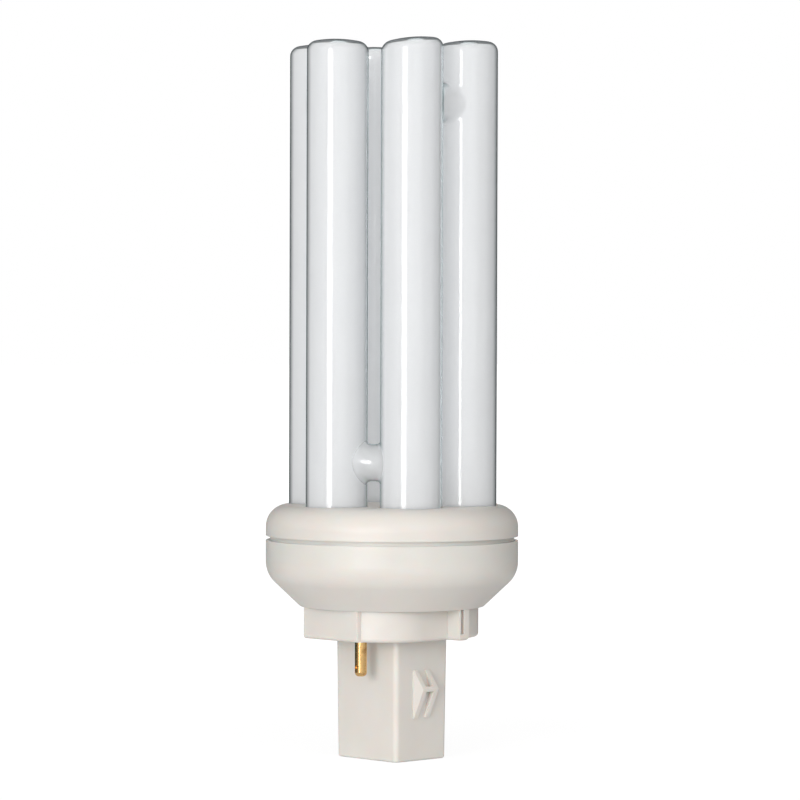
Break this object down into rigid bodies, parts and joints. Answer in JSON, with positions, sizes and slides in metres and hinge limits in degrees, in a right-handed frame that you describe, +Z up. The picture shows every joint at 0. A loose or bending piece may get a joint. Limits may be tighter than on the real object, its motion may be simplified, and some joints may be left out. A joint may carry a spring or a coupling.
{
  "type": "u shaped fluorescent bulb",
  "caption": "Plug-in fluorescent bulb: a folded white glass tube on a round housing, with a keyed post and brass contact pins",
  "frame": {"origin": "middle of the key post's end face, which is the lowest point", "axes": "+Z runs up through the glass legs, -Y is the side of the collar's slotted rib, and the contact pins are on the -X and +X sides"},
  "size_m": [0.0486, 0.0486, 0.1377],
  "materials": {
    "coated_glass": "clear glass, white coating inside",
    "moulded_plastic": "satin off-white moulding",
    "cement": "matt cast cement",
    "pin_brass": "polished",
    "clear_glass": "clear",
    "wire_steel": "drawn wire",
    "capacitor_resin": "dipped resin"
  },
  "bodies": {
    "root": {"glass_tube": "coated_glass", "housing_cover": "moulded_plastic", "base_cap": "moulded_plastic", "tube_cement": "cement", "contact_pin_left": "pin_brass", "contact_pin_right": "pin_brass", "starter_bottle": "clear_glass", "starter_electrode": "wire_steel", "starter_bimetal": "wire_steel", "suppression_capacitor": "capacitor_resin", "lead_pin_left": "wire_steel", "lead_pin_right": "wire_steel", "lead_starter_left": "wire_steel", "lead_starter_right": "wire_steel"}
  },
  "joints": []
}
